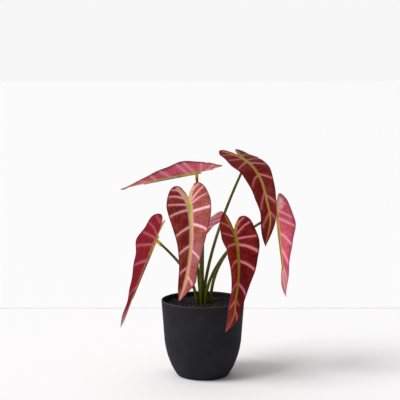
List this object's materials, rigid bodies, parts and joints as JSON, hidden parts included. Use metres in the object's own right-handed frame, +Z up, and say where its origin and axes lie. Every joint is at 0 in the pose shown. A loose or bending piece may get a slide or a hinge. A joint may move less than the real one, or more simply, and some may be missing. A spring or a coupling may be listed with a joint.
{
  "type": "potted alocasia",
  "caption": "Faux alocasia with long heart-shaped dark red leaves on bare stems, standing in soil in a tapered round charcoal pot.",
  "frame": {"origin": "centre of the pot's flat underside", "axes": "+Z up along the pot's axis, +X to the right and -Y towards the front as the plant is shown"},
  "size_m": [0.2707, 0.2272, 0.3526],
  "materials": {
    "pot": "matte charcoal",
    "soil": "rough dark grains",
    "stem": "satin dark olive",
    "rib": "satin yellow green",
    "blade": "printed and coated, dark red above and dusky pink below"
  },
  "bodies": {
    "root": {"pot": "pot", "soil": "soil", "stem_left_high": "stem", "rib_left_high": "rib", "blade_left_high": "blade", "stem_right_high": "stem", "rib_right_high": "rib", "blade_right_high": "blade", "stem_right": "stem", "rib_right": "rib", "blade_right": "blade", "stem_front_left": "stem", "rib_front_left": "rib", "blade_front_left": "blade", "stem_back": "stem", "rib_back": "rib", "blade_back": "blade", "stem_front_right": "stem", "rib_front_right": "rib", "blade_front_right": "blade", "stem_left": "stem", "rib_left": "rib", "blade_left": "blade"}
  },
  "joints": []
}
